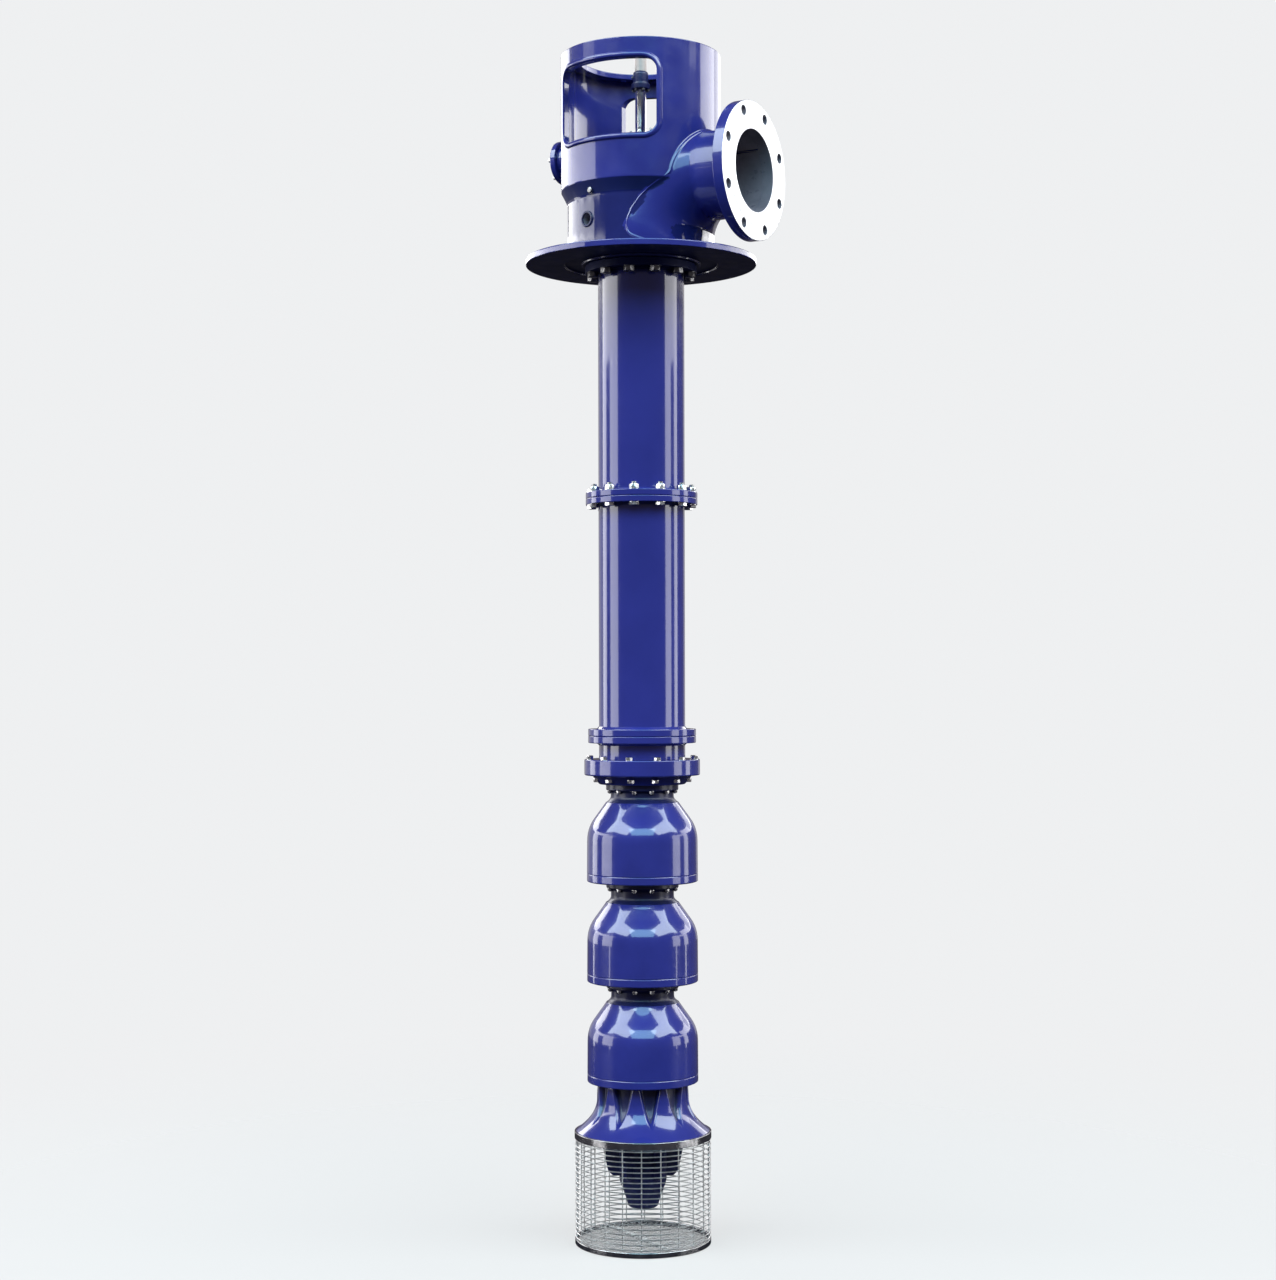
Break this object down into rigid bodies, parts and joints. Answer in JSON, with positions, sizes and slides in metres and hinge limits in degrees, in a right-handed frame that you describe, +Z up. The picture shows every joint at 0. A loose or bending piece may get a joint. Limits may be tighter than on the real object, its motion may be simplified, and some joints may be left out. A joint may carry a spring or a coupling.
{
  "type": "vertical turbine pump",
  "caption": "Vertical line-shaft turbine pump with flanged discharge head, windowed motor stand, long column, stacked bowls and a wire basket strainer.",
  "frame": {"origin": "on the shaft axis, on the underside of the base plate", "axes": "+Z up along the shaft towards the motor face, +X out of the discharge flange; the windows look along -Y and +Y"},
  "size_m": [0.618, 0.586, 3.03],
  "materials": {
    "blue_enamel": "glossy royal blue enamel on castings and pipe",
    "dark_blue_enamel": "the same enamel, in deeper shade",
    "machined_steel": "turned steel",
    "bright_shaft": "polished steel shaft",
    "stainless_wire": "bright stainless wire and band",
    "gland_bronze": "cast bronze, dull"
  },
  "bodies": {
    "pump_body": {"base_plate": "blue_enamel", "discharge_body": "blue_enamel", "discharge_flange": "blue_enamel", "motor_stand": "blue_enamel", "stand_top_ring": "blue_enamel", "window_rim_front": "blue_enamel", "window_rim_back": "blue_enamel", "side_port_neck": "blue_enamel", "side_port_cover": "blue_enamel", "stuffing_box": "blue_enamel", "head_column_flange": "blue_enamel", "upper_column_pipe": "blue_enamel", "joint_flange_upper": "blue_enamel", "joint_flange_lower": "blue_enamel", "lower_column_pipe": "blue_enamel", "coupling_ring_upper": "blue_enamel", "coupling_ring_lower": "blue_enamel", "spool_pipe": "blue_enamel", "bowl_adapter": "blue_enamel", "bowl_1": "blue_enamel", "bowl_2": "blue_enamel", "bowl_3": "blue_enamel", "suction_bell": "blue_enamel", "drain_plug": "dark_blue_enamel", "bowl_neck_1": "dark_blue_enamel", "bowl_neck_2": "dark_blue_enamel", "bowl_neck_3": "dark_blue_enamel", "suction_hub": "dark_blue_enamel", "suction_rib_1": "dark_blue_enamel", "suction_rib_2": "dark_blue_enamel", "suction_rib_3": "dark_blue_enamel", "suction_rib_4": "dark_blue_enamel", "suction_rib_5": "dark_blue_enamel", "suction_rib_6": "dark_blue_enamel", "strainer_top_band": "stainless_wire", "strainer_panel_1": "stainless_wire", "strainer_panel_2": "stainless_wire", "strainer_panel_3": "stainless_wire", "strainer_panel_4": "stainless_wire", "strainer_panel_5": "stainless_wire", "strainer_panel_6": "stainless_wire", "strainer_panel_7": "stainless_wire", "strainer_panel_8": "stainless_wire", "strainer_panel_9": "stainless_wire", "strainer_panel_10": "stainless_wire", "strainer_panel_11": "stainless_wire", "strainer_panel_12": "stainless_wire", "strainer_bottom_ring": "stainless_wire", "strainer_bottom_grille": "stainless_wire", "strainer_cross_bar": "stainless_wire", "packing_gland": "gland_bronze"},
    "rotor": {"line_shaft": "bright_shaft", "coupling_hub": "dark_blue_enamel", "head_shaft": "machined_steel"}
  },
  "joints": [
    {"name": "shaft_spin", "type": "hinge", "parent": "pump_body", "child": "rotor", "pos_m": [0, 0, 0.45], "axis": [0, 0, 1], "continuous": true}
  ]
}
